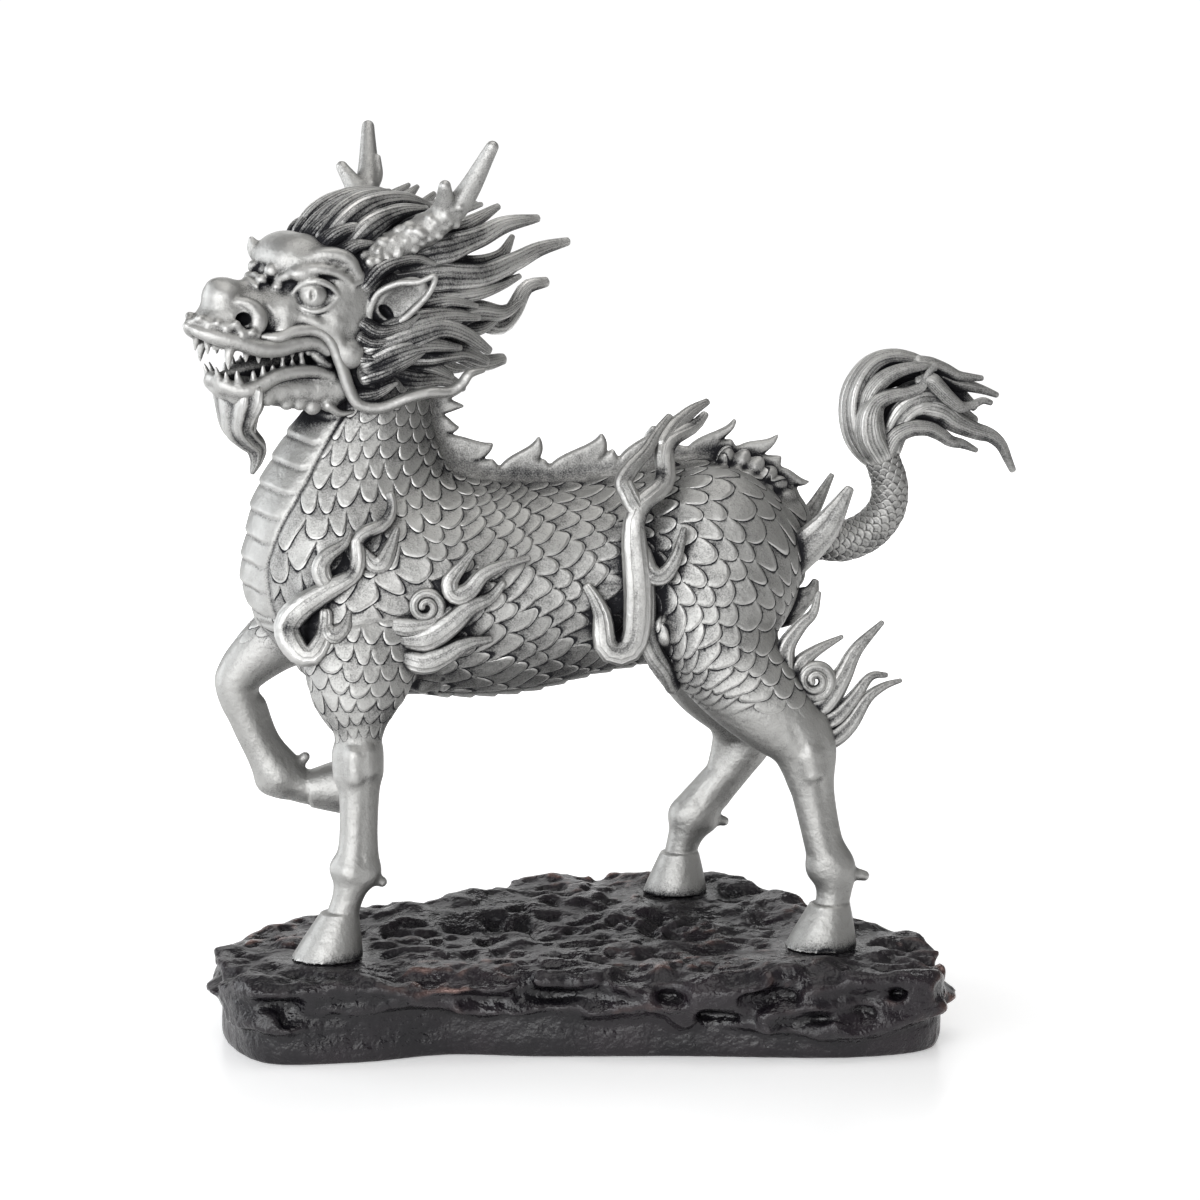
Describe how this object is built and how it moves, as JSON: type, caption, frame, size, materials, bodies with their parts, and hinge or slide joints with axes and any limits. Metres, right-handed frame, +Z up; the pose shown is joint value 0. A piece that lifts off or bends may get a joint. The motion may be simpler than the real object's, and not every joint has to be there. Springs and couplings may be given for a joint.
{
  "type": "qilin figure",
  "caption": "Horned, scaled and hoofed mythical beast cast in pewter, walking with one foreleg raised, on a dark resin rock base.",
  "frame": {"origin": "on the rock's flat underside, below the middle of the beast's body", "axes": "+Z up, the beast faces -X and turns its head towards -Y, so -Y is the side that shows best"},
  "size_m": [0.2067, 0.1031, 0.2245],
  "materials": {
    "pewter": "satin, blasted, dark in the grooves",
    "dark_resin": "glossy, with coppery tints"
  },
  "bodies": {
    "root": {"qilin": "pewter", "rock_base": "dark_resin"}
  },
  "joints": []
}
